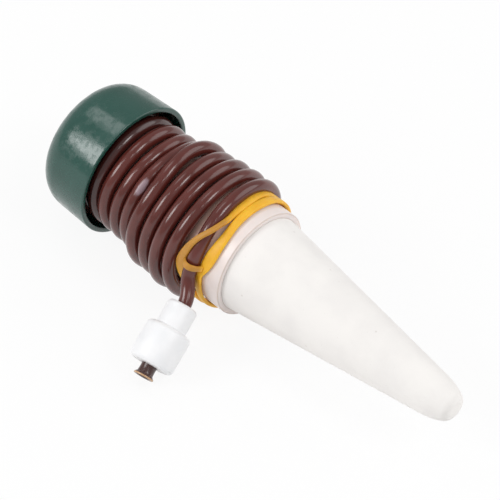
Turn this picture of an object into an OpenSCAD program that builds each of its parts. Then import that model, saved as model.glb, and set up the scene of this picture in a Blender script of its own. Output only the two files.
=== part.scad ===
// Self watering spike for a plant pot, lying on its side.
// A porous ceramic cone seeps water into the soil. A plastic spool holds the cone, feeds it
// through a thin hose and stores that hose wound on its neck. A screw cap closes the spool,
// and a weight keeps the free end of the hose at the bottom of the water jar.
// Lengths are in millimetres. The spike points along +X and its cap rests on the plane Z = 0.

/* [Ceramic cone] */
// Length of the cone that stands out of the collar
cone_length = 72.4; // [50:0.1:110]
// Radius of the cone where it leaves the collar
cone_mouth_radius = 14.5; // [13.5:0.1:18]
// Radius of the long curve that runs into the nose
nose_curve = 22; // [18:0.5:28]
// Radius of the flat end of the nose
nose_end = 3; // [2.4:0.1:3.6]
// Rounding of the edge of the flat end
nose_edge = 1; // [0.6:0.1:1.4]
// Thickness of the porous wall
cone_wall = 2.6; // [1.8:0.1:3.2]
// Length of the spigot that is bonded inside the collar
spigot_length = 6; // [4:0.1:9]

/* [Spool] */
// Wall of the collar round the bonded spigot
collar_wall = 1.6; // [1:0.1:3]
// Length of the collar
collar_length = 6.2; // [5:0.1:9]
// How far the collar stands out past the barrel
collar_step = 0.5; // [0.2:0.1:1]
// Wall of the wide barrel
barrel_wall = 1.6; // [1:0.1:2.5]
// Radius of the slim barrel under the cap
slim_radius = 12.55; // [11:0.05:13]
// How far the screw mouth is set in from the slim barrel
mouth_step = 0.95; // [0.5:0.05:1.5]
// Wall of the screw mouth
mouth_wall = 1.4; // [1:0.1:2]
// Length of the screw mouth
mouth_length = 7.9; // [6:0.1:10]
// Adhesive gap between the spigot and the collar
bond_gap = 0.3; // [0.2:0.05:0.5]

/* [Hose] */
// Outer diameter of the hose
hose_diameter = 4; // [3:0.1:4.5]
// Bore of the hose
hose_bore = 2.4; // [1.6:0.1:2.6]
// Free space between two neighbouring turns
turn_gap = 0.6; // [0.5:0.05:1.5]
// Extra step toward the cone in the last turn
run_out = 2.6; // [1:0.1:4]
// Space between the turns and the barrel under them
seat_gap = 0.25; // [0.1:0.05:0.5]

/* [Cap] */
// Height of the cap from its rim to its flat top
cap_height = 19.5; // [16:0.1:24]
// Wall of the skirt
cap_wall = 1.5; // [1:0.1:2.2]
// Thickness of the flat top
cap_top = 2; // [1.5:0.1:3]
// Space between the stored hose and the inside of the rim
cap_room = 1.7; // [1.2:0.1:3]
// How much slimmer the skirt is at its shoulder than at its rim
cap_taper = 0.55; // [0.2:0.05:1]
// Rounding between the skirt and the flat top
cap_shoulder = 7.8; // [4:0.1:9]
// Wall of the threaded sleeve inside the cap
sleeve_wall = 1.6; // [1:0.1:2]
// Running space between the sleeve and the screw mouth
thread_gap = 0.5; // [0.3:0.05:0.8]
// Thickness of the sealing washer
seal_thickness = 1.6; // [1:0.1:2.5]
// Width of the sealing washer
seal_width = 3.2; // [2:0.1:4]

/* [Weight] */
// Radius of the body of the weight
weight_radius = 6.5; // [5.6:0.1:8]
// Length of the body of the weight
weight_length = 11.4; // [8:0.1:16]
// Radius of the neck of the weight
weight_neck_radius = 4.35; // [3.8:0.05:4.8]
// Length of the neck of the weight
weight_neck_length = 7.2; // [5:0.1:10]
// Rounding of the edges of the weight
weight_edge = 1.6; // [0.8:0.1:2]
// Length of the ferrule below the weight
ferrule_reach = 3.6; // [3:0.1:6]
// Radius of the ferrule where it passes the weight
ferrule_radius = 2.25; // [2.1:0.05:2.5]
// Radius of the flared lip of the ferrule
ferrule_lip = 2.95; // [2.7:0.05:3.5]

/* [Rubber band] */
// Width of one strand
band_width = 2.1; // [1.4:0.1:2.2]
// Thickness of one strand
band_thickness = 0.9; // [0.6:0.1:1.1]

/* [Hidden] */
$fn = 96;
eps = 0.01;

// Turn of the spool about its own axis, which brings the free hose end down to the floor
roll = 38;

// Radii of the spool
spigot_radius = cone_mouth_radius - bond_gap;
collar_radius = cone_mouth_radius + collar_wall;
collar_edge = 0.4;
barrel_radius = collar_radius - collar_step;
barrel_bore = barrel_radius - barrel_wall;
mouth_radius = slim_radius - mouth_step;
mouth_bore = mouth_radius - mouth_wall;
socket_depth = spigot_length + 0.2;

// The winding, counted in turns from the nipple. Height is measured from the mouth of the
// collar toward the cap.
hose_radius = hose_diameter / 2;
pitch = hose_diameter + turn_gap;
slim_turns = 3.5;
step_turns = 1.5;
wide_turns = 4.339;
turns = slim_turns + step_turns + wide_turns;
slim_winding = slim_radius + seat_gap + hose_radius;
wide_winding = barrel_radius + seat_gap + hose_radius;
winding_low = collar_length + hose_radius - 0.2;
end_angle = -32;
steps = 24;
straight = hose_diameter;

// Heights of the spool, which leave room for the winding
winding_top = turn_height(0);
shoulder_low = turn_height(slim_turns + step_turns);
shoulder_high = shoulder_low + barrel_radius - slim_radius;
ledge_height = winding_top + hose_radius + 0.35;
mouth_height = ledge_height + mouth_length;

// The nipple and its boss, seen from the straight start of the hose
nipple_radius = hose_bore / 2;
nipple_bore = nipple_radius / 2;
nipple_reach = straight - 0.6;
boss_depth = 3.6;
boss_floor = 1;
boss_radius = slim_winding + hose_radius + 0.3;

// The cap and its washer
seal_gap = 0.05;
seal_low = mouth_height + seal_gap;
seal_high = seal_low + seal_thickness;
cap_high = seal_high + seal_gap + cap_top;
cap_low = cap_high - cap_height;
cap_radius = slim_winding + hose_radius + cap_room + cap_wall;
cap_rim = 0.3;
shoulder_radius = cap_radius - cap_taper;
sleeve_bore = mouth_radius + thread_gap;
sleeve_radius = sleeve_bore + sleeve_wall;
sleeve_low = ledge_height + 0.3;
seal_radius = sleeve_bore - 0.1;

// How the whole object lies
axis_height = max(cap_radius, wide_winding + hose_radius);
mouth_x = (cap_high - cone_length) / 2;

// Centre of the long curve of the nose, and the slant of the cone, which runs from its mouth
// into that curve
nose_lean = 28;
nose_x = nose_end - (nose_curve - nose_edge) * cos(nose_lean);
nose_y = nose_edge - cone_length + (nose_curve - nose_edge) * sin(nose_lean);
cone_slant = acos(nose_curve / norm([cone_mouth_radius - nose_x, nose_y]))
    - atan2(-nose_y, cone_mouth_radius - nose_x);
inner_curve = nose_curve - cone_wall;
inner_lean = asin((nose_y + cone_length - cone_wall) / inner_curve);

// The free end of the hose and the weight on it, which lies on the floor
hang = unit([0.047, -0.99, -0.16]);
tail_lead = 3.1;
tail_steps = 7;
tail_reach = 8.1;
tail_drop = 2.2;
floor_gap = 0.3;
weight_total = weight_neck_length + weight_length;
hose_depth = weight_neck_length + 4.8;
hose_clearance = 0.1;
ferrule_clearance = 0.05;
ferrule_length = weight_total + ferrule_reach - hose_depth;
ferrule_plug = 3.6;
hose_out = turn_point(turns) + straight * turn_way(turns);
fall = -(hang.x * cos(roll) + hang.y * sin(roll));
weight_drop = (weight_total - weight_edge) * fall
    + (weight_radius - weight_edge) * sqrt(1 - fall * fall) + weight_edge + floor_gap;
weight_side = hose_out.y - tail_reach;
weight_top = [(weight_drop - axis_height - weight_side * sin(roll)) / cos(roll),
              weight_side, hose_out.z - tail_drop];

// The rubber band, by the angle that it has gone round from the free end of the hose. It lies
// on the collar, climbs over the hose beside the weight and dips between the last two turns.
band_start = -12;
band_rings = 96;
band_on_collar = collar_radius + band_thickness / 2 + 0.1;
band_on_hose = wide_winding + hose_radius + band_thickness / 2 + 0.1;
first_lap = collar_length - 0.75 * band_width;
first_lap_end = collar_length - 0.2;
second_lap = collar_length + band_width;
beside_hose = winding_low - band_width / 2;
between_turns = turn_height(turns - 1) - hose_radius - band_width / 2 - 0.1;

// 0 up to a, 1 from b on, with a smooth step in between
function smooth(a, b, x) =
    let (s = min(1, max(0, (x - a) / (b - a))))
    s * s * (3 - 2 * s);
function unit(v) = v / norm(v);
function total(v, i = 0) = i < len(v) ? v[i] + total(v, i + 1) : 0;

// Centre of the hose after q turns, and the direction that it has there
function turn_height(q) =
    winding_low + pitch * (turns - q) + run_out * (1 - pow(max(0, q - turns + 1), 4));
function turn_radius(q) =
    slim_winding + (wide_winding - slim_winding) * smooth(slim_turns, slim_turns + step_turns, q);
function turn_angle(q) = end_angle + 360 * (turns - q);
function turn_point(q) =
    [turn_radius(q) * cos(turn_angle(q)), turn_radius(q) * sin(turn_angle(q)), turn_height(q)];
function turn_way(q) = unit(turn_point(q + 0.002) - turn_point(q - 0.002));

// Free end of the hose between its last turn and the weight
function bend(a, b, c, d, s) =
    a * pow(1 - s, 3) + 3 * b * s * pow(1 - s, 2) + 3 * c * s * s * (1 - s) + d * pow(s, 3);
function tail_point(s) =
    bend(hose_out, hose_out + tail_lead * turn_way(turns), weight_top - tail_lead * hang, weight_top, s);

winding_points = concat(
    [turn_point(0) - straight * turn_way(0)],
    [for (i = [0 : floor(turns * steps)]) turn_point(i / steps)],
    [turn_point(turns), hose_out]);
tail_points = concat(
    [for (i = [0 : tail_steps]) tail_point(i / tail_steps)],
    [weight_top + hose_depth * hang]);

// Least distance between the surfaces of two turns, and the length of the hose
least_gap = min([for (i = [0 : len(winding_points) - 1], j = [i + steps / 2 : 1 : len(winding_points) - 1])
    norm(winding_points[i] - winding_points[j])]) - hose_diameter;
echo(least_gap_between_turns = least_gap);
echo(hose_length = length(winding_points) + length(tail_points));
function length(p) = total([for (i = [1 : len(p) - 1]) norm(p[i] - p[i - 1])]);

// Centre of the band after a degrees, two laps in all
function band_height(a) =
    beside_hose
    + (between_turns - beside_hose) * (smooth(-18, 26, a) + smooth(702, 746, a))
    - (between_turns - second_lap) * smooth(36, 70, a)
    - (second_lap - first_lap) * smooth(180, 300, a)
    + (first_lap_end - first_lap) * smooth(392, 418, a)
    + (second_lap - first_lap_end) * smooth(520, 620, a)
    - (second_lap - beside_hose) * smooth(620, 670, a);
function band_radius(a) =
    band_on_collar
    + (band_on_hose - band_on_collar) * (1 - smooth(0, 46, a) + smooth(674, 704, a))
    + (band_thickness + 0.15) * (smooth(500, 530, a) - smooth(610, 640, a));
function band_point(i) =
    let (a = 720 * i / band_rings)
    [band_radius(a) * cos(band_start - a), band_radius(a) * sin(band_start - a), band_height(a)];

// Direction of a line of points at one of them, square to its first and last stretch
function way(p, i) = unit(p[min(i + 1, len(p) - 1)] - p[max(i - 1, 0)]);
// n points round a line, w to the side and h upward
function ring(p, along, up, w, h, n) =
    let (side = unit(cross(up, along)), top = cross(along, side))
    [for (k = [0 : n - 1]) p + w * cos(360 * (k + 0.5) / n) * side + h * sin(360 * (k + 0.5) / n) * top];
// Points of an arc in a profile
function arc(x, y, r, from, to, n = 8) =
    [for (i = [0 : n]) let (a = from + (to - from) * i / n) [x + r * cos(a), y + r * sin(a)]];

// Lays a piece that stands on the mouth of the collar down on its side
module lay() {
    translate([mouth_x, 0, axis_height])
        rotate([roll, 0, 0])
            rotate([0, -90, 0])
                children();
}

// Puts a piece on the hose at the place of the weight, with its +Z along the hose
module hang_on_hose() {
    lay()
        translate(weight_top)
            rotate([0, acos(hang.z), atan2(hang.y, hang.x)])
                children();
}

// Puts a piece at the straight start of the hose, with its +Z against the run of the hose
module at_hose_start() {
    translate(winding_points[0])
        rotate([0, 0, turn_angle(0)])
            rotate([asin(-turn_way(0).z) - 90, 0, 0])
                children();
}

// Skin of a tube through rings of n points, open or closed on itself
module skin(rings, n, closed = false) {
    count = len(rings);
    last = closed ? count - 1 : count - 2;
    sides = [for (i = [0 : last], k = [0 : n - 1])
        let (a = i * n, b = ((i + 1) % count) * n, m = (k + 1) % n)
        each [[a + k, b + k, b + m], [a + k, b + m, a + m]]];
    ends = closed ? [] : [for (k = [1 : n - 2])
        each [[0, k, k + 1], [(count - 1) * n, (count - 1) * n + k + 1, (count - 1) * n + k]]];
    polyhedron([for (r = rings) each r], concat(sides, ends), convexity = 10);
}

// Porous cone, hollow from its spigot to its nose
module cone() {
    color("ivory")
        lay()
            rotate_extrude()
                difference() {
                    polygon(concat(
                        [[0, -cone_length]],
                        arc(nose_end, nose_edge - cone_length, nose_edge, -90, -nose_lean, 4),
                        arc(nose_x, nose_y, nose_curve, -nose_lean, -cone_slant, 8),
                        [[cone_mouth_radius, 0], [spigot_radius, 0], [spigot_radius, spigot_length],
                         [0, spigot_length]]));
                    polygon(concat(
                        [[0, cone_wall - cone_length]],
                        arc(nose_x, nose_y, inner_curve, -inner_lean, -cone_slant, 6),
                        [[cone_mouth_radius - cone_wall / cos(cone_slant), 0],
                         [spigot_radius - cone_wall, 0], [spigot_radius - cone_wall, spigot_length + 1],
                         [0, spigot_length + 1]]));
                }
}

// Ring of adhesive round the spigot
module cone_bond() {
    color("wheat")
        lay()
            difference() {
                cylinder(r = cone_mouth_radius, h = spigot_length);
                translate([0, 0, -1])
                    cylinder(r = spigot_radius, h = spigot_length + 2);
            }
}

// Spool: collar, wide barrel, slim barrel and screw mouth, with the boss of the nipple
module neck() {
    color("gainsboro")
        lay()
            difference() {
                union() {
                    rotate_extrude()
                        polygon([
                            [0, 0], [collar_radius - collar_edge, 0], [collar_radius, collar_edge],
                            [collar_radius, collar_length - collar_edge],
                            [collar_radius - collar_edge, collar_length],
                            [barrel_radius, collar_length], [barrel_radius, shoulder_low],
                            [slim_radius, shoulder_high], [slim_radius, ledge_height],
                            [mouth_radius, ledge_height], [mouth_radius, mouth_height], [0, mouth_height]]);
                    nipple_boss();
                }
                rotate_extrude()
                    polygon([
                        [0, -1], [cone_mouth_radius, -1], [cone_mouth_radius, socket_depth],
                        [barrel_bore, socket_depth + 0.5], [barrel_bore, shoulder_low - barrel_wall / 2],
                        [mouth_bore, shoulder_low - barrel_wall / 2 + barrel_bore - mouth_bore],
                        [mouth_bore, mouth_height + 1], [0, mouth_height + 1]]);
                at_hose_start() {
                    translate([0, 0, -eps])
                        cylinder(r = nipple_radius, h = boss_depth - boss_floor);
                    translate([0, 0, boss_depth - boss_floor - nipple_bore])
                        rotate([0, -90, 0])
                            cylinder(r = nipple_bore, h = slim_winding - mouth_bore + 1);
                }
            }
}

// Boss on the slim barrel that carries the nipple
module nipple_boss() {
    intersection() {
        at_hose_start()
            translate([mouth_bore + mouth_wall / 2 - slim_winding, -hose_radius, 0])
                cube([boss_radius - mouth_bore, hose_diameter, boss_depth]);
        cylinder(r = boss_radius, h = ledge_height);
    }
}

// Barbed tube that the hose is pushed on
module hose_nipple() {
    color("dimgray")
        lay()
            at_hose_start()
                rotate_extrude()
                    polygon([
                        [nipple_bore, -nipple_reach], [nipple_radius - 0.15, -nipple_reach],
                        [nipple_radius + 0.25, -nipple_reach + 1.2], [nipple_radius, -nipple_reach + 1.2],
                        [nipple_radius, boss_depth - boss_floor - eps],
                        [nipple_bore, boss_depth - boss_floor - eps]]);
}

// Cap: domed shell with a threaded sleeve
module cap() {
    inner_shoulder = cap_shoulder - cap_wall;
    color("darkgreen")
        lay() {
            rotate_extrude()
                difference() {
                    polygon(concat(
                        [[0, cap_low], [cap_radius - cap_rim, cap_low], [cap_radius, cap_low + cap_rim]],
                        arc(shoulder_radius - cap_shoulder, cap_high - cap_shoulder, cap_shoulder, 0, 90, 12),
                        [[0, cap_high]]));
                    polygon(concat(
                        [[0, cap_low - 1], [cap_radius - cap_wall, cap_low - 1], [cap_radius - cap_wall, cap_low]],
                        arc(shoulder_radius - cap_shoulder, cap_high - cap_top - inner_shoulder, inner_shoulder,
                            0, 90, 12),
                        [[0, cap_high - cap_top]]));
                }
            translate([0, 0, sleeve_low])
                difference() {
                    cylinder(r = sleeve_radius, h = cap_high - cap_top / 2 - sleeve_low);
                    translate([0, 0, -1])
                        cylinder(r = sleeve_bore, h = cap_high - cap_top - sleeve_low + 1);
                }
        }
}

// Washer that seals the mouth of the spool
module cap_seal() {
    color("black")
        lay()
            translate([0, 0, seal_low])
                difference() {
                    cylinder(r = seal_radius, h = seal_thickness);
                    translate([0, 0, -1])
                        cylinder(r = seal_radius - seal_width, h = seal_thickness + 2);
                }
}

// Hose wound on the spool, from the nipple to its last turn
module hose_winding() {
    color("sienna")
        lay()
            skin([for (i = [0 : len(winding_points) - 1])
                ring(winding_points[i], way(winding_points, i), [0, 0, 1], hose_radius, hose_radius, 6)], 6);
}

// Free end of the hose, down into the weight
module hose_tail() {
    color("sienna")
        lay()
            skin([for (i = [0 : len(tail_points) - 1])
                ring(tail_points[i],
                    i == 0 ? turn_way(turns) : i >= tail_steps ? hang : way(tail_points, i),
                    [0, 0, 1], hose_radius, hose_radius, 10)], 10);
}

// Rubber band that holds the free end of the hose
module rubber_band() {
    points = [for (i = [0 : band_rings - 1]) band_point(i)];
    color("gold")
        lay()
            skin([for (i = [0 : band_rings - 1])
                ring(points[i], unit(band_point(i + 1) - band_point(i - 1)), unit([points[i].x, points[i].y, 0]),
                    band_width / sqrt(2), band_thickness / sqrt(2), 4)], 4, true);
}

// Weight with a bore for the hose and a wider one for the ferrule
module weight() {
    neck_edge = 0.8 * weight_edge;
    color("white")
        hang_on_hose()
            rotate_extrude()
                difference() {
                    polygon(concat(
                        [[0, 0]],
                        arc(weight_neck_radius - neck_edge, neck_edge, neck_edge, -90, 0, 6),
                        [[weight_neck_radius, weight_neck_length]],
                        arc(weight_radius - weight_edge, weight_neck_length + weight_edge, weight_edge, -90, 0, 6),
                        arc(weight_radius - weight_edge, weight_total - weight_edge, weight_edge, 0, 90, 6),
                        [[0, weight_total]]));
                    polygon([
                        [-1, -1], [hose_radius + hose_clearance, -1], [hose_radius + hose_clearance, hose_depth],
                        [ferrule_radius + ferrule_clearance, hose_depth],
                        [ferrule_radius + ferrule_clearance, weight_total + 1], [-1, weight_total + 1]]);
                }
}

// Ferrule that ends the hose and stops the weight
module ferrule() {
    waist_low = ferrule_length - 0.55 * ferrule_reach;
    waist_high = ferrule_length - 0.3 * ferrule_reach;
    color("saddlebrown")
        hang_on_hose()
            translate([0, 0, hose_depth])
                rotate_extrude()
                    polygon([
                        [nipple_bore, -ferrule_plug], [nipple_radius - 0.1, -ferrule_plug],
                        [nipple_radius, -ferrule_plug + 0.8], [nipple_radius, 0], [ferrule_radius, 0],
                        [ferrule_radius, ferrule_length - ferrule_reach], [ferrule_radius - 0.25, waist_low],
                        [ferrule_radius, waist_high], [ferrule_lip, ferrule_length - 0.3],
                        [ferrule_lip - 0.1, ferrule_length], [nipple_radius + 0.5, ferrule_length],
                        [nipple_bore, ferrule_length - 1.6]]);
}

cone();
cone_bond();
neck();
hose_nipple();
cap();
cap_seal();
hose_winding();
hose_tail();
rubber_band();
weight();
ferrule();
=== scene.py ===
"""Dresses the self watering spike: turned plastic and ceramic pieces, the wound hose, the
rubber band and the weight, with their finishes, on a pale floor at the photograph's angle."""

from math import acos, asin, atan2, cos, floor, hypot, pi, radians, sin, sqrt

import bmesh
import bpy
from mathutils import Matrix, Vector


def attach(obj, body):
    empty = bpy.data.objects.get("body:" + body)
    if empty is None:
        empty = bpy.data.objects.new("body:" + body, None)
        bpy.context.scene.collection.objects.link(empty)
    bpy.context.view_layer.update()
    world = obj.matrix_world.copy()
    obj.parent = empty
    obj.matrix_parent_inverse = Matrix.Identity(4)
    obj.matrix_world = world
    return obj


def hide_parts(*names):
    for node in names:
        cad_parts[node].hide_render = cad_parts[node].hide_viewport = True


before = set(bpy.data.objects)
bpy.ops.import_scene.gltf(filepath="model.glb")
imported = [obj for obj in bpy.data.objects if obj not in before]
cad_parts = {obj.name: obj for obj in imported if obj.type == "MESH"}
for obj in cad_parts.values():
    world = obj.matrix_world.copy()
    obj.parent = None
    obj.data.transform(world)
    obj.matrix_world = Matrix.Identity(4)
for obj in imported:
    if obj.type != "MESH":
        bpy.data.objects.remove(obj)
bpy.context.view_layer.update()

MM = 0.001

# Sizes of the pieces in millimetres, winding in turns and angles in degrees, as the part has them.
CONE_LENGTH = 72.4
CONE_MOUTH_RADIUS = 14.5
NOSE_CURVE = 22.0
NOSE_END = 3.0
NOSE_EDGE = 1.0
NOSE_LEAN = 28.0
CONE_WALL = 2.6
SPIGOT_LENGTH = 6.0
SPIGOT_RADIUS = 14.2
COLLAR_RADIUS = 16.1
COLLAR_LENGTH = 6.2
BARREL_RADIUS = 15.6
BARREL_BORE = 14.0
SLIM_RADIUS = 12.55
MOUTH_RADIUS = 11.6
MOUTH_BORE = 10.2
MOUTH_LENGTH = 7.9
HOSE_RADIUS = 2.0
HOSE_BORE_RADIUS = 1.2
TURNS = 9.339
SLIM_TURNS = 3.5
STEP_TURNS = 1.5
PITCH = 4.6
RUN_OUT = 2.6
SLIM_WINDING = 14.8
WIDE_WINDING = 17.85
WINDING_LOW = 8.0
END_ANGLE = -32.0
STRAIGHT = 4.0
CAP_RADIUS = 20.0
CAP_SHOULDER_RADIUS = 19.45
CAP_SHOULDER = 7.8
CAP_WALL = 1.5
CAP_TOP = 2.0
CAP_HEIGHT = 19.5
SEAL_GAP = 0.05
SEAL_THICKNESS = 1.6
SEAL_WIDTH = 3.2
SLEEVE_BORE = 12.1
SLEEVE_RADIUS = 13.7
THREAD_PITCH = 3.0
WEIGHT_RADIUS = 6.5
WEIGHT_LENGTH = 11.4
WEIGHT_NECK_RADIUS = 4.35
WEIGHT_NECK_LENGTH = 7.2
WEIGHT_TOTAL = WEIGHT_NECK_LENGTH + WEIGHT_LENGTH
WEIGHT_EDGE = 1.6
FERRULE_REACH = 3.6
FERRULE_RADIUS = 2.25
FERRULE_LIP = 2.95
HOSE_GRIP = 4.8
HOSE_DEPTH = WEIGHT_NECK_LENGTH + HOSE_GRIP
LEDGE_ROOM = 0.35
BOSS_DEPTH = 3.6
ROLL = 38.0

# Details that only the scene has, in millimetres or as counts.
COLLAR_GROOVE = 0.4
WAIST_DEPTH = 0.6
WAIST_LENGTH = 7.2
BOSS_SINK = 0.6
BOSS_CLEAR = 17.6
THREAD_START = 2.2
MOUTH_THREAD_TURNS = 1.6
SLEEVE_THREAD_TURNS = 1.0
THREAD_STEPS = 72
RIDGE_ROOT = 0.75
RIDGE_CREST = 0.22
MOUTH_RIDGE = 0.45
SLEEVE_RIDGE = 0.42
BAND_THICKNESS = 1.1
FOLD_THICKNESS = 0.88
STRAND_SIDES = 12
MERGE_DISTANCE = 0.002

# Heights on the spool, measured from the mouth of the collar toward the cap, and last the
# place of that mouth along X.
WINDING_TOP = WINDING_LOW + PITCH * TURNS + RUN_OUT
SHOULDER_LOW = WINDING_LOW + PITCH * (TURNS - SLIM_TURNS - STEP_TURNS) + RUN_OUT
SHOULDER_HIGH = SHOULDER_LOW + BARREL_RADIUS - SLIM_RADIUS
LEDGE = WINDING_TOP + HOSE_RADIUS + LEDGE_ROOM
MOUTH = LEDGE + MOUTH_LENGTH
SEAL_LOW = MOUTH + SEAL_GAP
CAP_HIGH = SEAL_LOW + SEAL_THICKNESS + SEAL_GAP + CAP_TOP
CAP_LOW = CAP_HIGH - CAP_HEIGHT
MOUTH_X = (CAP_HIGH - CONE_LENGTH) / 2

# Lays a piece that stands on the mouth of the collar down on its side, in metres.
LAY = (
    Matrix.Translation((MOUTH_X * MM, 0, CAP_RADIUS * MM))
    @ Matrix.Rotation(radians(ROLL), 4, "X")
    @ Matrix.Rotation(radians(-90), 4, "Y")
    @ Matrix.Scale(MM, 4)
)


# The route of the hose

# The coil is slack: for each lap, counted from the free end, how far the hose has moved toward
# the cap and away from the axis at six angles past the line that faces the camera.
SLACK_ANGLES = (-90, -45, 0, 45, 90, 142)
SLACK = {
    9: ((0, 0, 0.2, 0.65, 0.9, 0.7), (0, 0, 0, 0, 0, 0)),
    8: ((0, 0, 0.3, 1.1, 1.2, 0.9), (0, 0, 0, 0.1, 0.2, 0)),
    7: ((0, -0.3, 0.3, 1.5, 1.6, 1.3), (0, 0, 0, 0.2, 0.3, 0)),
    6: ((0, -0.9, 0, 1.4, 2.0, 1.5), (0, 0, 0, 0.3, 0.6, 0.1)),
    5: ((0.5, -0.5, 0.1, 1.3, 1.9, 1.5), (-0.6, -0.7, -0.4, -0.7, -1.2, -0.5)),
    4: ((0.7, 0.9, 0, 1.45, 1.9, 1.7), (-0.45, 0.1, 0, 0.1, 0.2, 0)),
    3: ((0.8, 0, -0.15, 1.3, 2.3, 1.8), (-0.8, -0.4, 0, 0, 0.1, 0)),
    2: ((0.5, -0.3, 0, 1.4, 2.3, 1.6), (-0.2, 0, 0, 0.4, 0.9, 0.1)),
    1: ((0, -0.6, -0.25, 1.3, 1.5, 1.0), (0.05, 0, 0, 0.2, 0.6, 0.1)),
    0: ((-0.25, -0.2, 0), (0.1, 0, 0)),
}
SLACK_LINE = [(0.0, 0.0, 0.0), (0.04, 0.0, 0.0)] + [
    (TURNS - lap - (-END_ANGLE - angle) / 360, rise, swell)
    for lap, (rises, swells) in SLACK.items()
    for angle, rise, swell in list(zip(SLACK_ANGLES, rises, swells))[1 if lap == 9 else 0:]
] + [(TURNS - 0.05, 0.15, 0.0), (TURNS, 0.8, 0.0), (TURNS + 0.05, 1.5, 0.0), (TURNS + 1, 1.5, 0.0)]


def slack(q):
    """Rise and swell of the hose after q turns, on a smooth line through the places above."""
    for i in range(1, len(SLACK_LINE) - 2):
        a, b, c, d = (Vector(SLACK_LINE[i + k]) for k in (-1, 0, 1, 2))
        if b[0] <= q < c[0]:
            span = c[0] - b[0]
            s = (q - b[0]) / span
            lead_in, lead_out = (c - a) / (c[0] - a[0]) * span, (d - b) / (d[0] - b[0]) * span
            place = (
                b * (2 * s**3 - 3 * s**2 + 1) + lead_in * (s**3 - 2 * s**2 + s)
                + c * (3 * s**2 - 2 * s**3) + lead_out * (s**3 - s**2)
            )
            return place[1], place[2]
    return 0.0, 0.0


def turn_point(q):
    """Centre of the hose after q turns from the nipple, standing on the collar's mouth."""
    s = min(1.0, max(0.0, (q - SLIM_TURNS) / STEP_TURNS))
    radius = SLIM_WINDING + (WIDE_WINDING - SLIM_WINDING) * s * s * (3 - 2 * s)
    height = WINDING_LOW + PITCH * (TURNS - q) + RUN_OUT * (1 - max(0.0, q - TURNS + 1) ** 4)
    angle = radians(END_ANGLE + 360 * (TURNS - q))
    rise, swell = slack(q)
    radius += swell
    return Vector((radius * cos(angle), radius * sin(angle), height + rise))


def turn_way(q):
    """Direction of the hose after q turns."""
    nudge = 0.002
    return (turn_point(q + nudge) - turn_point(q - nudge)).normalized()


HANG = Vector((0.047, -0.99, -0.16)).normalized()
HOSE_START = turn_point(0) - STRAIGHT * turn_way(0)
HOSE_OUT = turn_point(TURNS) + STRAIGHT * turn_way(TURNS)
FALL = -(HANG.x * cos(radians(ROLL)) + HANG.y * sin(radians(ROLL)))

# The free end hangs toward HANG, and the weight stays clear of the floor.
WEIGHT_CLEARANCE = 0.3
WEIGHT_DROP = (
    (WEIGHT_TOTAL - WEIGHT_EDGE) * FALL
    + (WEIGHT_RADIUS - WEIGHT_EDGE) * sqrt(1 - FALL * FALL)
    + WEIGHT_EDGE
    + WEIGHT_CLEARANCE
)
WEIGHT_SIDE = -20.921
WEIGHT_HIGH = 5.27
WEIGHT_START = Vector((
    (WEIGHT_DROP - CAP_RADIUS - WEIGHT_SIDE * sin(radians(ROLL))) / cos(radians(ROLL)),
    WEIGHT_SIDE,
    WEIGHT_HIGH,
))
TAIL_LEAD = 3.1
TURN_STEPS = 120
TAIL_STEPS = 16
END_STEPS = 4


def tail_point(s):
    """Centre of the free end of the hose, from 0 at the last turn to 1 at the weight."""
    a, d = HOSE_OUT, WEIGHT_START
    b, c = a + TAIL_LEAD * turn_way(TURNS), d - TAIL_LEAD * HANG
    return a * (1 - s) ** 3 + 3 * b * s * (1 - s) ** 2 + 3 * c * s * s * (1 - s) + d * s**3


def hose_route():
    """Points of the hose from the nipple through the winding and the weight, in metres."""
    last = floor(TURNS * TURN_STEPS)
    points = [HOSE_START] + [turn_point(i / TURN_STEPS) for i in range(last + 1)]
    points += [turn_point(TURNS)] + [tail_point(i / TAIL_STEPS) for i in range(TAIL_STEPS + 1)]
    points += [WEIGHT_START + HANG * HOSE_DEPTH * i / END_STEPS for i in range(1, END_STEPS + 1)]
    return [LAY @ p for p in points]


# Floor, light and camera

# The camera aims at a point that lies AIM_ALONG and AIM_UP past the middle of the cap's rim.
ALONG = Vector((1, 0, 0))
FACING = Vector((0, -sin(radians(ROLL)), cos(radians(ROLL))))
DOWN = ALONG.cross(FACING)
TIP_TOWARD_CAMERA = radians(27.5)
IMAGE_TILT = radians(36.7)
LENS = 395.3
CAMERA_AWAY = 1500
AIM_ALONG = 38.25
AIM_UP = 1.5
WORLD_STRENGTH = 0.5
FLOOR_REACH = 3.0
FLOOR_GLOW = 0.9

# Name of each lamp, its direction from the spike, its distance and size in metres, its power.
LAMPS = (
    ("key", (-0.42, -0.73, 0.53), 1.0, 0.50, 3.85),
    ("top", (-0.54, -0.02, 0.84), 1.0, 0.36, 0.65),
    ("fill", (0.64, 0.12, 0.75), 1.2, 0.46, 3.1),
    ("side", (0.45, 0.80, 0.55), 1.2, 1.0, 3.7),
    ("spark_low", (-0.2, -0.55, 0.81), 1.2, 0.12, 0.3),
    ("spark_high", (0.55, -0.25, 0.80), 1.2, 0.12, 0.3),
)


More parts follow.
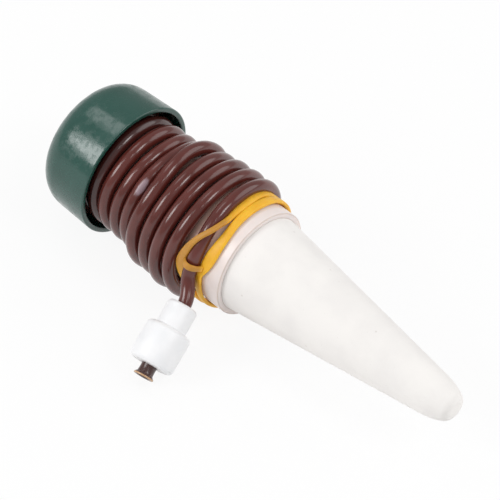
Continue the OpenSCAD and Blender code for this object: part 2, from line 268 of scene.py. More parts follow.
def photograph_camera():
    """Camera of the photograph: a long lens that looks down on the axis of the spike."""
    toward = ALONG * sin(TIP_TOWARD_CAMERA) + FACING * cos(TIP_TOWARD_CAMERA)
    across = ALONG * cos(TIP_TOWARD_CAMERA) - FACING * sin(TIP_TOWARD_CAMERA)
    right = across * cos(IMAGE_TILT) - DOWN * sin(IMAGE_TILT)
    up = -(across * sin(IMAGE_TILT) + DOWN * cos(IMAGE_TILT))
    rim = Vector(((MOUTH_X - CAP_LOW) * MM, 0, CAP_RADIUS * MM))
    place = rim + (across * AIM_ALONG - DOWN * AIM_UP + toward * CAMERA_AWAY) * MM
    data = bpy.data.cameras.new("camera")
    data.lens = LENS
    data.clip_start = 0.05
    data.clip_end = 20
    camera = bpy.data.objects.new("camera", data)
    turn = Matrix((right, up, toward)).transposed().to_4x4()
    camera.matrix_world = Matrix.Translation(place) @ turn
    bpy.context.collection.objects.link(camera)
    bpy.context.scene.camera = camera


def soft_light(name, direction, distance, size, power):
    """A round lamp that faces the spike."""
    data = bpy.data.lights.new(name, "AREA")
    data.shape = "DISK"
    data.size = size
    data.energy = power
    lamp = bpy.data.objects.new(name, data)
    way = Vector(direction).normalized()
    lamp.location = way * distance + Vector((0, 0, CAP_RADIUS * MM))
    lamp.rotation_euler = way.to_track_quat("Z", "Y").to_euler()
    bpy.context.collection.objects.link(lamp)


# Shader nodes as expressions

class Wire:
    """An output of a node. Arithmetic on it adds Math nodes."""

    def __init__(self, shader, socket):
        self.shader = shader
        self.socket = socket

    def maths(self, operation, *values):
        """A Math node on wires or numbers."""
        sockets = dict(enumerate(values))
        return self.shader.node("ShaderNodeMath", {"operation": operation}, sockets)

    def __add__(self, other):
        return self.maths("ADD", self, other)

    def __radd__(self, other):
        return self.maths("ADD", other, self)

    def __sub__(self, other):
        return self.maths("SUBTRACT", self, other)

    def __rsub__(self, other):
        return self.maths("SUBTRACT", other, self)

    def __mul__(self, other):
        return self.maths("MULTIPLY", self, other)

    def __rmul__(self, other):
        return self.maths("MULTIPLY", other, self)

    def between(self, low, high):
        """0 below low, 1 above high, and smooth in between."""
        return self.shader.node(
            "ShaderNodeMapRange",
            {"interpolation_type": "SMOOTHSTEP"},
            {"Value": self, "From Min": low, "From Max": high, "To Min": 0.0, "To Max": 1.0},
        )

    def below(self, low, high):
        """1 below low, 0 above high, and smooth in between."""
        return 1 - self.between(low, high)


class Finish:
    """A material whose nodes are made by calls and expressions."""

    def __init__(self, name, **constants):
        self.material = bpy.data.materials.new(name)
        self.material.use_nodes = True
        self.tree = self.material.node_tree
        self.tree.nodes.clear()
        self.output = self.tree.nodes.new("ShaderNodeOutputMaterial")
        self.surface = self.node("ShaderNodeBsdfPrincipled", {}, constants, output="BSDF")
        self.tree.links.new(self.surface.socket, self.output.inputs["Surface"])
        self.place = self.node("ShaderNodeTexCoord", {}, {}, output="Object")

    def node(self, kind, settings, sockets, output=0):
        """Any node, with its settings first and then the values or wires of its sockets."""
        made = self.tree.nodes.new(kind)
        for key, value in settings.items():
            setattr(made, key, value)
        for key, value in sockets.items():
            if isinstance(value, Wire):
                self.tree.links.new(value.socket, made.inputs[key])
            else:
                made.inputs[key].default_value = value
        return Wire(self, made.outputs[output])

    def set(self, **links):
        """Joins wires to sockets of the surface, such as base_color or roughness."""
        for key, wire in links.items():
            socket = self.surface.socket.node.inputs[key.replace("_", " ").title()]
            self.tree.links.new(wire.socket, socket)

    def noise(self, scale, detail=3.0, roughness=0.5):
        """Soft random variation; a larger scale is finer."""
        return self.node(
            "ShaderNodeTexNoise",
            {},
            {"Vector": self.place, "Scale": scale, "Detail": detail, "Roughness": roughness},
        )

    def blend(self, amount, low, high):
        """A colour between two, by an amount from 0 to 1."""
        return self.node(
            "ShaderNodeMix", {"data_type": "RGBA"}, {0: amount, 6: colour(low), 7: colour(high)}, output=2
        )

    def axes(self):
        """Height above the mouth of the collar and distance from the axis, in millimetres."""
        x, y, z = (
            self.node("ShaderNodeSeparateXYZ", {}, {"Vector": self.place}, output=k) * 1000.0 for k in "XYZ"
        )
        rise = z - CAP_RADIUS
        square = y * y + rise * rise
        return MOUTH_X - x, square.maths("SQRT", square)

    def bump(self, height, distance, strength, under=None):
        """Relief of a depth in millimetres, on top of another relief if one is given."""
        sockets = {"Height": height, "Distance": distance * MM, "Strength": strength}
        if under is not None:
            sockets["Normal"] = under
        return self.node("ShaderNodeBump", {}, sockets, output="Normal")


def colour(values):
    """A colour socket's value, or the wire as it is."""
    return values if isinstance(values, Wire) else (*values, 1.0)


# Finishes

def porous_ceramic():
    """Chalky white, clouded and grainy, with a few small pits."""
    finish = Finish("porous_ceramic", **{"IOR": 1.45, "Specular IOR Level": 0.25})
    cloud = finish.noise(90.0, 4.0)
    tone = finish.blend(cloud.between(0.35, 0.7), (0.90, 0.875, 0.85), (0.855, 0.83, 0.81))
    grain = finish.noise(2600.0, 2.0)
    cells = {"Vector": finish.place, "Scale": 170.0}
    pits = finish.node("ShaderNodeTexVoronoi", {}, cells, output="Distance").below(0.03, 0.065)
    specks = pits * 0.3 + grain.between(0.70, 0.78) * 0.3
    finish.set(
        base_color=finish.blend(specks, tone, (0.50, 0.44, 0.40)),
        roughness=cloud * 0.1 + 0.82,
    )
    fine = finish.bump(grain, 0.04, 0.35)
    finish.set(normal=finish.bump(finish.noise(420.0, 3.0), 0.08, 0.25, fine))
    return finish.material


def spool_plastic():
    """Milky plastic, with painted shade on the barrel where the hose lies, a painted warm glow above the
    collar and two thin browner edges.
    """
    finish = Finish(
        "spool_plastic",
        **{"IOR": 1.5, "Subsurface Weight": 0.4, "Subsurface Radius": (1.0, 0.85, 0.75),
           "Subsurface Scale": 0.0015, "Emission Strength": 1.0},
    )
    flow = finish.noise(160.0, 2.0)
    height, away = finish.axes()
    # Painted shade: the barrel between the laps of the hose is dark brown.
    shade = height.between(11.0, 16.0) * height.below(LEDGE - 0.7, LEDGE)
    groove = COLLAR_RADIUS - COLLAR_GROOVE
    corner = height.below(0.1, 0.4) * away.between(groove, groove + 0.2)
    seam = height.below(0.02, 0.1) * away.below(CONE_MOUTH_RADIUS + 0.1, CONE_MOUTH_RADIUS + 0.3)
    # Painted light: a warm tint and a faint glow on the barrel above the collar, in place of light coming
    # through the milky plastic.
    painted_glow = height.between(COLLAR_LENGTH, COLLAR_LENGTH + 1.4)
    tone = finish.blend(flow, (0.86, 0.775, 0.745), (0.81, 0.725, 0.70))
    tone = finish.blend(corner + seam, tone, (0.66, 0.56, 0.51))
    tone = finish.blend(painted_glow * 0.8, tone, (0.95, 0.66, 0.56))
    finish.set(
        base_color=finish.blend(shade, tone, (0.24, 0.15, 0.125)),
        emission_color=finish.blend(painted_glow * (1 - shade), (0, 0, 0), (0.10, 0.058, 0.045)),
        roughness=flow * 0.12 + 0.26,
        normal=finish.bump(finish.noise(700.0, 2.0), 0.02, 0.3),
    )
    return finish.material


def moulded_green():
    """Glossy plastic whose lights break up on shallow waves and dull flecks."""
    finish = Finish("cap_plastic", **{"IOR": 1.5, "Specular IOR Level": 0.65})
    flow = finish.noise(55.0, 3.0)
    flecks = finish.noise(520.0, 4.0, 0.6)
    waves = finish.bump(finish.noise(170.0, 2.0), 0.16, 0.3)
    finish.set(
        base_color=finish.blend(flow.between(0.3, 0.7), (0.011, 0.062, 0.047), (0.018, 0.078, 0.061)),
        roughness=flecks.between(0.35, 0.7) * 0.22 + 0.12,
        normal=finish.bump(flecks, 0.03, 0.3, waves),
    )
    return finish.material


def hose_vinyl():
    """Brown vinyl, with painted shade on the laps under the cap's rim and one pale painted highlight on the
    coil.
    """
    finish = Finish("hose_vinyl", **{"IOR": 1.5, "Specular IOR Level": 0.6})
    flow = finish.noise(130.0, 3.0)
    # A pale violet painted highlight on one lap of the coil, where the roughness is raised too.
    highlight_turn = TURNS - 5.067
    highlight_drop = 0.9
    shade_reach = 4.5
    crest = turn_point(highlight_turn) * ((WIDE_WINDING + HOSE_RADIUS) / WIDE_WINDING)
    crest.z = turn_point(highlight_turn).z - highlight_drop
    lie = (LAY.to_quaternion() @ turn_way(highlight_turn).to_track_quat("X", "Z")).to_euler()
    highlight_size = Vector((3.6, 1.1, 1.5)) * MM
    patch = finish.node(
        "ShaderNodeMapping",
        {"vector_type": "TEXTURE"},
        {"Vector": finish.place, "Location": LAY @ crest, "Rotation": lie, "Scale": highlight_size},
        output="Vector",
    )
    apart = finish.node("ShaderNodeVectorMath", {"operation": "LENGTH"}, {0: patch}, output="Value")
    painted_highlight = (apart + finish.noise(700.0) * 0.5).below(0.75, 1.2)
    # Painted shade: the laps just under the cap's rim are darkened.
    cap_shade = finish.axes()[0].between(CAP_LOW - shade_reach, CAP_LOW)
    tone = finish.blend(flow.between(0.3, 0.7), (0.095, 0.018, 0.013), (0.122, 0.026, 0.020))
    tone = finish.blend(cap_shade * 0.75, tone, (0.026, 0.008, 0.007))
    finish.set(
        base_color=finish.blend(painted_highlight * 0.55, tone, (0.46, 0.36, 0.42)),
        roughness=flow * 0.1 + painted_highlight * 0.2 + 0.11,
        normal=finish.bump(finish.noise(140.0, 1.0), 0.03, 0.2),
    )
    return finish.material


def band_rubber():
    """Yellow rubber, browner where it stands off the spool over the hose."""
    finish = Finish(
        "band_rubber",
        **{"IOR": 1.45, "Subsurface Weight": 0.25, "Subsurface Radius": (1.0, 0.55, 0.15),
           "Subsurface Scale": 0.001},
    )
    flow = finish.noise(300.0, 3.0)
    away = finish.axes()[1]
    tone = finish.blend(flow.between(0.3, 0.7), (0.84, 0.44, 0.020), (0.92, 0.51, 0.030))
    finish.set(
        base_color=finish.blend(away.between(17.2, 19.0) * 0.85, tone, (0.46, 0.21, 0.035)),
        roughness=flow * 0.15 + 0.38,
        normal=finish.bump(finish.noise(1800.0, 2.0), 0.02, 0.35),
    )
    return finish.material


def white_glaze():
    """Smooth white with a faint unevenness."""
    finish = Finish("weight_ceramic", **{"IOR": 1.5, "Specular IOR Level": 0.45})
    flow = finish.noise(220.0, 3.0)
    finish.set(
        base_color=finish.blend(flow.between(0.3, 0.7), (0.88, 0.885, 0.90), (0.92, 0.92, 0.93)),
        roughness=flow * 0.15 + 0.28,
        normal=finish.bump(finish.noise(380.0, 2.0), 0.04, 0.25),
    )
    return finish.material


def brown_ferrule(lip, way):
    """Dark brown with a thin golden rim round the lip."""
    finish = Finish("ferrule_plastic", **{"IOR": 1.52, "Specular IOR Level": 0.7})

    def vector(operation, a, b):
        return finish.node("ShaderNodeVectorMath", {"operation": operation}, {0: a, 1: b}, output="Value")

    past = vector("DOT_PRODUCT", finish.place, way) * 1000.0 - way.dot(lip) * 1000
    apart = vector("DISTANCE", finish.place, lip)
    rim = apart.between(2.62 * MM, 2.74 * MM) * past.between(-0.5, -0.4)
    finish.set(
        base_color=finish.blend(rim, (0.060, 0.022, 0.018), (0.55, 0.33, 0.17)),
        roughness=finish.noise(400.0) * 0.1 + 0.2,
    )
    return finish.material


def plain_finish(name, low, high, roughness):
    """Mottled between two colours, for the pieces that are hardly seen."""
    finish = Finish(name)
    flow = finish.noise(350.0, 3.0)
    finish.set(
        base_color=finish.blend(flow, low, high),
        roughness=flow * 0.1 + roughness,
        normal=finish.bump(finish.noise(900.0, 2.0), 0.03, 0.3),
    )
    return finish.material


# Pieces

def keep(shape, name, material, smooth_angle=32.0):
    """Turns a bmesh into a named object at the origin."""
    mesh = bpy.data.meshes.new(name)
    shape.to_mesh(mesh)
    shape.free()
    mesh.materials.append(material)
    mesh.shade_smooth()
    mesh.set_sharp_from_angle(angle=radians(smooth_angle))
    piece = bpy.data.objects.new(name, mesh)
    bpy.context.collection.objects.link(piece)
    return piece


def outline(shape, corners, closed=True):
    """Draws a half section from corners of (radius, height, rounding) and rounds them."""
    made = [shape.verts.new((r, 0, h)) for r, h, _ in corners]
    pairs = list(zip(made, made[1:])) + ([(made[-1], made[0])] if closed else [])
    for a, b in pairs:
        shape.edges.new((a, b))
    for vert, (_, _, rounding) in zip(made, corners):
        if rounding:
            bmesh.ops.bevel(
                shape, geom=[vert], offset=rounding, offset_type="OFFSET", segments=6,
                profile=0.5, affect="VERTICES", material=-1,
            )


def turned(corners, place=LAY, steps=144, closed=True):
    """A piece turned from its half section round its own upright axis."""
    shape = bmesh.new()
    outline(shape, corners, closed)
    bmesh.ops.spin(
        shape, geom=shape.verts[:] + shape.edges[:], cent=(0, 0, 0), axis=(0, 0, 1),
        angle=2 * pi, steps=steps, use_merge=True,
    )
    bmesh.ops.remove_doubles(shape, verts=shape.verts, dist=MERGE_DISTANCE)
    bmesh.ops.recalc_face_normals(shape, faces=shape.faces)
    shape.transform(place)
    return shape


def make_cone(ceramic):
    """Long straight cone that runs through a wide curve into a blunt nose."""
    lean = radians(NOSE_LEAN)
    x = NOSE_END - (NOSE_CURVE - NOSE_EDGE) * cos(lean)
    y = NOSE_EDGE - CONE_LENGTH + (NOSE_CURVE - NOSE_EDGE) * sin(lean)
    slant = acos(NOSE_CURVE / hypot(CONE_MOUTH_RADIUS - x, y)) - atan2(-y, CONE_MOUTH_RADIUS - x)

    def arc(radius, start, steps):
        turns = [start + (-slant - start) * i / steps for i in range(steps + 1)]
        return [(x + radius * cos(a), y + radius * sin(a), 0) for a in turns]

    nose_round = 1.5
    nose_corner = NOSE_END + 0.35
    inner_curve = NOSE_CURVE - CONE_WALL
    inner_start = -asin((y + CONE_LENGTH - CONE_WALL) / inner_curve)
    outer = [(0, -CONE_LENGTH, 0), (nose_corner, -CONE_LENGTH, nose_round)]
    outer += arc(NOSE_CURVE, -lean, 16)[2:]
    outer += [(CONE_MOUTH_RADIUS, 0, 0), (SPIGOT_RADIUS, 0, 0), (SPIGOT_RADIUS, SPIGOT_LENGTH, 0.4)]
    inner = [(0, CONE_WALL - CONE_LENGTH, 0)] + arc(inner_curve, inner_start, 12) + [
        (CONE_MOUTH_RADIUS - CONE_WALL / cos(slant), 0, 0),
        (SPIGOT_RADIUS - CONE_WALL, SPIGOT_LENGTH, 0.4),
    ]
    piece = keep(turned(outer + inner[::-1], closed=False), "porous_cone", ceramic)
    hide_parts("cone")
    return piece


def join(shape, part):
    """Moves one bmesh into another."""
    mesh = bpy.data.meshes.new("part")
    part.to_mesh(mesh)
    part.free()
    shape.from_mesh(mesh)
    bpy.data.meshes.remove(mesh)


def thread_ridge(shape, radius, low, turns, depth):
    """Adds a helical ridge on a wall; a negative depth puts it inside a bore."""
    ridge = bmesh.new()
    sunk = 0.1
    profile = ((-sunk, -RIDGE_ROOT), (1.0, -RIDGE_CREST), (1.0, RIDGE_CREST), (-sunk, RIDGE_ROOT))
    section = [ridge.verts.new((radius + out * depth, 0, low + rise)) for out, rise in profile]
    edges = [ridge.edges.new((section[i], section[(i + 1) % 4])) for i in range(4)]
    last = bmesh.ops.spin(
        ridge, geom=section + edges, cent=(0, 0, 0), axis=(0, 0, 1),
        dvec=(0, 0, THREAD_PITCH / THREAD_STEPS), angle=2 * pi * turns, steps=round(turns * THREAD_STEPS),
    )["geom_last"]
    for end in (section, [item for item in last if isinstance(item, bmesh.types.BMVert)]):
        for vert in end:
            flat = Vector((vert.co.x, vert.co.y, 0))
            vert.co -= flat.normalized() * (flat.length - radius + sunk * depth)
    bmesh.ops.holes_fill(ridge, edges=ridge.edges)
    bmesh.ops.recalc_face_normals(ridge, faces=ridge.faces)
    join(shape, ridge)


def boss_block(shape):
    """Adds the block on the spool's far end that the nipple stands in."""
    clearance = 0.2
    reach = SLIM_WINDING + HOSE_RADIUS + clearance - SLIM_RADIUS + BOSS_SINK
    block = bmesh.new()
    bmesh.ops.create_cube(block, size=1.0)
    bmesh.ops.scale(block, vec=(reach, BOSS_DEPTH, 2 * HOSE_RADIUS), verts=block.verts)
    bmesh.ops.bevel(
        block, geom=block.edges[:], offset=0.5, segments=3, profile=0.5, affect="EDGES", material=-1,
    )
    bmesh.ops.translate(
        block, vec=(SLIM_RADIUS - BOSS_SINK + reach / 2, BOSS_DEPTH / 2, 0), verts=block.verts,
    )
    for vert in block.verts:
        vert.co.x -= max(0.0, hypot(vert.co.x, vert.co.y + STRAIGHT) - BOSS_CLEAR)
    block.transform(
        Matrix.Rotation(radians(END_ANGLE + 360 * TURNS), 4, "Z")
        @ Matrix.Translation((0, STRAIGHT, WINDING_TOP + clearance))
    )
    join(shape, block)


def make_spool(plastic):
    """Collar, wide barrel with its waist, shoulder, slim barrel and threaded mouth in one piece."""
    waist_low = SHOULDER_LOW - WAIST_LENGTH
    waist_radius = BARREL_RADIUS - WAIST_DEPTH
    bore_shoulder = SHOULDER_LOW - 0.8
    groove = COLLAR_RADIUS - COLLAR_GROOVE
    groove_side = 0.1
    groove_depth = 0.12
    corners = [
        (COLLAR_RADIUS, 0, 0.3), (COLLAR_RADIUS, COLLAR_LENGTH, 0.4),
        (BARREL_RADIUS, COLLAR_LENGTH, 0.15), (BARREL_RADIUS, waist_low, 0.8),
        (waist_radius, waist_low + WAIST_DEPTH, 0.8), (waist_radius, SHOULDER_LOW + WAIST_DEPTH, 0.8),
        (SLIM_RADIUS, SHOULDER_HIGH, 0.8), (SLIM_RADIUS, LEDGE, 0.3),
        (MOUTH_RADIUS, LEDGE, 0.2), (MOUTH_RADIUS, MOUTH, 0.35), (MOUTH_BORE, MOUTH, 0.35),
        (MOUTH_BORE, bore_shoulder + BARREL_BORE - MOUTH_BORE, 0.8), (BARREL_BORE, bore_shoulder, 0.8),
        (BARREL_BORE, SPIGOT_LENGTH + 0.7, 0.3), (CONE_MOUTH_RADIUS, SPIGOT_LENGTH + 0.2, 0),
        (CONE_MOUTH_RADIUS, 0, 0), (groove - groove_side, 0, 0), (groove, groove_depth, 0),
        (groove + groove_side, 0, 0),
    ]
    shape = turned(corners, Matrix.Identity(4))
    thread_ridge(shape, MOUTH_RADIUS, LEDGE + THREAD_START, MOUTH_THREAD_TURNS, MOUTH_RIDGE)
    boss_block(shape)
    shape.transform(LAY)
    piece = keep(shape, "spool", plastic)
    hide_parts("neck")
    return piece


def make_cap(plastic):
    """Domed shell with a rounded rim, and inside it the threaded sleeve."""
    inner = CAP_SHOULDER - CAP_WALL
    top = CAP_HIGH - CAP_TOP
    arc_steps = 12
    outer_arc = [
        (CAP_SHOULDER_RADIUS - CAP_SHOULDER + CAP_SHOULDER * cos(a),
         CAP_HIGH - CAP_SHOULDER + CAP_SHOULDER * sin(a), 0)
        for a in [pi / 2 * i / arc_steps for i in range(arc_steps + 1)]
    ]
    inner_arc = [
        (CAP_SHOULDER_RADIUS - CAP_WALL - inner + inner * cos(a), top - inner + inner * sin(a), 0)
        for a in [pi / 2 * i / arc_steps for i in range(arc_steps)]
    ]
    rim_round = 0.45
    sleeve_low = LEDGE + 0.3
    corners = (
        [(CAP_RADIUS, CAP_LOW, rim_round)] + outer_arc + [(0, CAP_HIGH, 0), (0, top, 0)]
        + [(SLEEVE_BORE, top, 0.2), (SLEEVE_BORE, sleeve_low, 0.35), (SLEEVE_RADIUS, sleeve_low, 0.35)]
        + [(SLEEVE_RADIUS, top - 0.02, 0.3)]
        + inner_arc[::-1][:-1] + [(CAP_RADIUS - CAP_WALL, CAP_LOW, rim_round)]
    )
    shape = turned(corners, Matrix.Identity(4), 160)
    ridge_low = LEDGE + THREAD_START + THREAD_PITCH / 2
    thread_ridge(shape, SLEEVE_BORE, ridge_low, SLEEVE_THREAD_TURNS, -SLEEVE_RIDGE)
    shape.transform(LAY)
    piece = keep(shape, "screw_cap", plastic)
    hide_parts("cap")
    return piece


def make_seal(rubber):
    """Washer between the screw mouth and the top of the cap."""
    high = SEAL_LOW + SEAL_THICKNESS
    outer = SLEEVE_BORE - 0.1
    inner = outer - SEAL_WIDTH
    edge = 0.3
    corners = [(outer, SEAL_LOW, edge), (outer, high, edge), (inner, high, edge), (inner, SEAL_LOW, edge)]
    piece = keep(turned(corners, steps=96), "washer", rubber)
    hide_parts("cap_seal")
    return piece


def make_nipple(plastic):
    """Tube with one barb that stands in the boss and leads into the hose."""
    tilt = (-turn_way(0)).to_track_quat("Z", "Y").to_matrix().to_4x4()
    place = LAY @ Matrix.Translation(HOSE_START) @ tilt
    reach = STRAIGHT - 0.6
    barb_end = 1.2 - reach
    root = BOSS_DEPTH - 1.01
    bore = HOSE_BORE_RADIUS / 2
    corners = [
        (bore, -reach, 0), (HOSE_BORE_RADIUS - 0.15, -reach, 0.05),
        (HOSE_BORE_RADIUS + 0.25, barb_end, 0.05), (HOSE_BORE_RADIUS, barb_end, 0.05),
        (HOSE_BORE_RADIUS, root, 0.1), (bore, root, 0),
    ]
    piece = keep(turned(corners, place, 48), "nipple", plastic)
    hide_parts("hose_nipple")
    return piece


WEIGHT_PLACE = LAY @ Matrix.Translation(WEIGHT_START) @ HANG.to_track_quat("Z", "Y").to_matrix().to_4x4()


def make_weight(glaze):
    """Weight of two diameters with soft edges, bored for the hose and the ferrule."""
    bore = HOSE_RADIUS + 0.1
    wide_bore = FERRULE_RADIUS + 0.05
    corners = [
        (bore, 0, 0.2), (WEIGHT_NECK_RADIUS, 0, 1.1), (WEIGHT_NECK_RADIUS, WEIGHT_NECK_LENGTH, 0.35),
        (WEIGHT_RADIUS, WEIGHT_NECK_LENGTH + 0.15, 1.5), (WEIGHT_RADIUS, WEIGHT_TOTAL, 1.5),
        (wide_bore, WEIGHT_TOTAL, 0.2), (wide_bore, HOSE_DEPTH, 0), (bore, HOSE_DEPTH, 0),
    ]
    piece = keep(turned(corners, WEIGHT_PLACE, 96), "weight_body", glaze)
    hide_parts("weight")
    return piece


def make_ferrule():
    """Tube that stands in the end of the hose and flares to a lip below the weight."""
    end = WEIGHT_TOTAL + FERRULE_REACH
    way = WEIGHT_PLACE.to_quaternion() @ Vector((0, 0, 1))
    brown = brown_ferrule(WEIGHT_PLACE @ Vector((0, 0, end)), way)
    start = HOSE_DEPTH - 3.6
    bore = HOSE_BORE_RADIUS / 2
    corners = [
        (bore, start, 0), (HOSE_BORE_RADIUS, start, 0.3), (HOSE_BORE_RADIUS, HOSE_DEPTH, 0),
        (FERRULE_RADIUS, HOSE_DEPTH, 0), (FERRULE_RADIUS, end - FERRULE_REACH, 0.3),
        (FERRULE_RADIUS - 0.1, end - FERRULE_REACH * 0.5, 1.2), (FERRULE_RADIUS + 0.05, end - 1.1, 0.5),
        (FERRULE_LIP, end - 0.35, 0.12), (FERRULE_LIP - 0.08, end, 0.1),
        (HOSE_BORE_RADIUS + 0.75, end - 0.1, 0.3), (bore + 0.3, end - 1.8, 0.3), (bore, end - 3.0, 0.2),
    ]
    piece = keep(turned(corners, WEIGHT_PLACE, 72), "ferrule_tube", brown)
    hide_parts("ferrule")
    return piece


def make_hose(vinyl):
    """One tube along the whole route of the hose."""
    route = hose_route()
    data = bpy.data.curves.new("hose", "CURVE")
    data.dimensions = "3D"
    data.bevel_depth = HOSE_RADIUS * MM
    data.bevel_resolution = 8
    data.use_fill_caps = True
    spline = data.splines.new("POLY")
    spline.points.add(len(route) - 1)
    for point, place in zip(spline.points, route):
        point.co = (*place, 1.0)
    spline.use_smooth = True
    data.materials.append(vinyl)
    hose = bpy.data.objects.new("hose", data)
    bpy.context.collection.objects.link(hose)
    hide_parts("hose_winding", "hose_tail")
    return hose, route


# Places of the rubber band: angle past the line that faces the camera, height above the
# collar's mouth, radius and width. Two laps that close on themselves, and the fold that lies
# over the hose.
BAND_LAPS = [
    (-90, 8.8, 16.9, 2.6), (-60, 8.35, 16.9, 2.7), (-47, 7.75, 16.9, 2.6), (-36, 7.35, 16.9, 2.4),
    (-25, 7.15, 17.0, 2.2), (-18, 6.9, 17.3, 1.8), (-11.6, 6.75, 17.95, 1.7), (-3.4, 6.8, 19.5, 1.6),
    (2, 7.25, 20.2, 1.6), (6, 7.95, 20.45, 1.6), (11, 8.95, 20.5, 1.6), (17, 10.0, 20.2, 1.8),
    (22.5, 10.8, 19.8, 2.1), (29.5, 11.6, 19.1, 2.6), (36.8, 12.15, 18.45, 3.2), (44, 12.4, 18.0, 3.5),
    (52, 12.2, 17.5, 3.3), (63, 10.6, 17.3, 2.6), (76, 8.9, 17.2, 2.2), (95, 8.3, 17.1, 2.1),
    (150, 8.1, 16.5, 2.1), (200, 7.5, 16.5, 2.1), (232, 6.3, 16.8, 2.2), (258, 5.65, 17.0, 2.5),
    (285, 5.6, 16.95, 2.8), (308, 5.15, 16.75, 2.8), (327, 4.85, 16.75, 2.6), (344, 4.6, 16.75, 2.5),
    (358, 4.35, 16.75, 2.7), (371, 4.5, 16.75, 3.2), (383, 4.9, 16.75, 3.7), (393, 5.4, 16.75, 3.2),
    (405, 6.45, 16.8, 2.1), (414, 6.5, 16.8, 1.9), (440, 6.4, 16.8, 2.0), (470, 6.0, 16.8, 2.0),
    (510, 5.9, 16.75, 2.0), (552, 6.3, 17.4, 2.1), (582, 7.2, 17.95, 2.1), (606, 8.3, 17.4, 2.2),
]
BAND_FOLD = [
    (35.0, 11.2, 18.5, 1.6), (35.0, 10.5, 19.6, 1.7), (35.1, 9.6, 20.45, 1.8), (35.3, 8.7, 20.75, 1.9),
    (35.5, 7.8, 20.6, 1.9), (35.8, 7.0, 19.9, 1.9), (36.1, 6.3, 18.8, 1.8), (36.3, 5.8, 17.5, 1.8),
]


def through(points, steps, closed):
    """Places and widths on a smooth line through points of angle, height, radius and width."""
    two_laps = 720
    count = len(points)
    spans = count if closed else count - 1

    def at(i):
        if closed:
            lap, k = divmod(i, count)
            return Vector(points[k]) + Vector((two_laps * lap, 0, 0, 0))
        return Vector(points[min(max(i, 0), count - 1)])

    line = []
    for i in range(spans):
        a, b, c, d = at(i - 1), at(i), at(i + 1), at(i + 2)
        lead_in = (c - a) / (c[0] - a[0]) * (c[0] - b[0]) if closed else (c - a) / 2
        lead_out = (d - b) / (d[0] - b[0]) * (c[0] - b[0]) if closed else (d - b) / 2
        for k in range(steps):
            s = k / steps
            line.append(
                b * (2 * s**3 - 3 * s**2 + 1) + lead_in * (s**3 - 2 * s**2 + s)
                + c * (3 * s**2 - 2 * s**3) + lead_out * (s**3 - s**2)
            )
    if not closed:
        line.append(at(count - 1))
    return [(Vector((r * cos(radians(-b)), r * sin(radians(-b)), h)), w) for b, h, r, w in line]


def sweep_strand(shape, line, thickness, closed):
    """Adds a flat strand with round edges along a line round the spool."""
    rings = []
    count = len(line)
    for i, (place, width) in enumerate(line):
        before, after = (i - 1, (i + 1) % count) if closed else (max(i - 1, 0), min(i + 1, count - 1))
        along = (line[after][0] - line[before][0]).normalized()
        out = Vector((place.x, place.y, 0)).normalized()
        side = along.cross(out).normalized()
        out = side.cross(along)
        ring = []
        for k in range(STRAND_SIDES):
            a = 2 * pi * (k + 0.5) / STRAND_SIDES
            x = abs(cos(a)) ** 0.6 * (1 if cos(a) > 0 else -1) * width / 2
            y = abs(sin(a)) ** 0.7 * (1 if sin(a) > 0 else -1) * thickness / 2
            ring.append(shape.verts.new(place + side * x + out * y))
        rings.append([shape.edges.new((ring[k], ring[(k + 1) % STRAND_SIDES])) for k in range(STRAND_SIDES)])
    pairs = list(zip(rings, rings[1:])) + ([(rings[-1], rings[0])] if closed else [])
    for a, b in pairs:
        bmesh.ops.bridge_loops(shape, edges=a + b)
    if not closed:
        for ring in (rings[0], rings[-1]):
            bmesh.ops.holes_fill(shape, edges=ring)


def make_band(rubber):
    """The two laps of the band and its fold, in one mesh."""
    shape = bmesh.new()
    sweep_strand(shape, through(BAND_LAPS, 9, True), BAND_THICKNESS, True)
    sweep_strand(shape, through(BAND_FOLD, 6, False), FOLD_THICKNESS, False)
    bmesh.ops.recalc_face_normals(shape, faces=shape.faces)
    shape.transform(LAY)
    piece = keep(shape, "rubber_ring", rubber, 60.0)
    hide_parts("rubber_band")
    return piece


# The scene

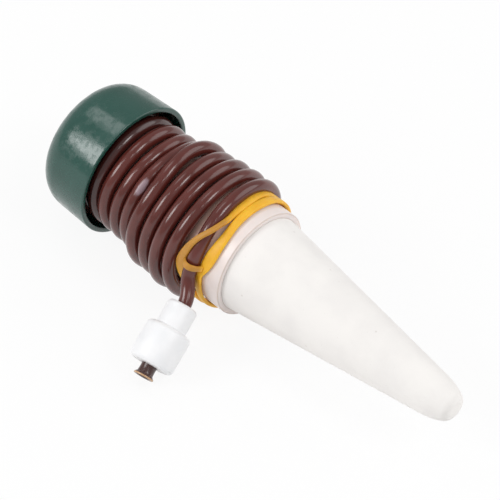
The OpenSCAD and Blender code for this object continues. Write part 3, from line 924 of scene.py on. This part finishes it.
photograph_camera()
vinyl = hose_vinyl()
hose, route = make_hose(vinyl)
weight = make_weight(white_glaze())
ferrule = make_ferrule()
band = make_band(band_rubber())
cone = make_cone(porous_ceramic())
spool = make_spool(spool_plastic())
cap = make_cap(moulded_green())
seal = make_seal(plain_finish("seal_rubber", (0.015, 0.015, 0.016), (0.03, 0.03, 0.03), 0.55))
nipple = make_nipple(plain_finish("nipple_plastic", (0.20, 0.20, 0.20), (0.26, 0.26, 0.26), 0.4))
adhesive = plain_finish("adhesive", (0.72, 0.64, 0.50), (0.62, 0.54, 0.42), 0.5)
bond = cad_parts["cone_bond"]
bond.data.materials.clear()
bond.data.materials.append(adhesive)

for piece in (hose, weight, ferrule, band, cone, spool, nipple):
    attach(piece, "spike")
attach(seal, "seal")
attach(cap, "cap")

length = sum((b - a).length for a, b in zip(route, route[1:]))


def make_floor():
    """Pale floor that keeps the shadow and shows white to the camera."""
    shape = bmesh.new()
    bmesh.ops.create_grid(shape, x_segments=1, y_segments=1, size=FLOOR_REACH)
    pale = colour((0.9, 0.9, 0.9))
    finish = Finish("floor", **{"Roughness": 0.9, "Specular IOR Level": 0.1, "Base Color": pale})
    light_path = finish.tree.nodes.new("ShaderNodeLightPath")
    camera_ray, glossy_ray, through_ray = (
        Wire(finish, light_path.outputs[f"Is {kind} Ray"]) for kind in ("Camera", "Glossy", "Transmission")
    )
    seen = camera_ray + glossy_ray + through_ray
    white = {"Color": colour((1, 1, 1)), "Strength": 1.0}
    glow = finish.node("ShaderNodeEmission", {}, white, output="Emission")
    layers = {0: seen * FLOOR_GLOW, 1: finish.surface, 2: glow}
    mixed = finish.node("ShaderNodeMixShader", {}, layers, output="Shader")
    finish.tree.links.new(mixed.socket, finish.output.inputs["Surface"])
    floor_piece = keep(shape, "floor", finish.material)


def make_world():
    """Even white light from all sides."""
    world = bpy.data.worlds.new("studio")
    world.use_nodes = True
    background = world.node_tree.nodes["Background"]
    background.inputs["Color"].default_value = (1, 1, 1, 1)
    background.inputs["Strength"].default_value = WORLD_STRENGTH
    bpy.context.scene.world = world


make_floor()
make_world()
for lamp in LAMPS:
    soft_light(*lamp)

bpy.context.scene.view_settings.view_transform = "Standard"
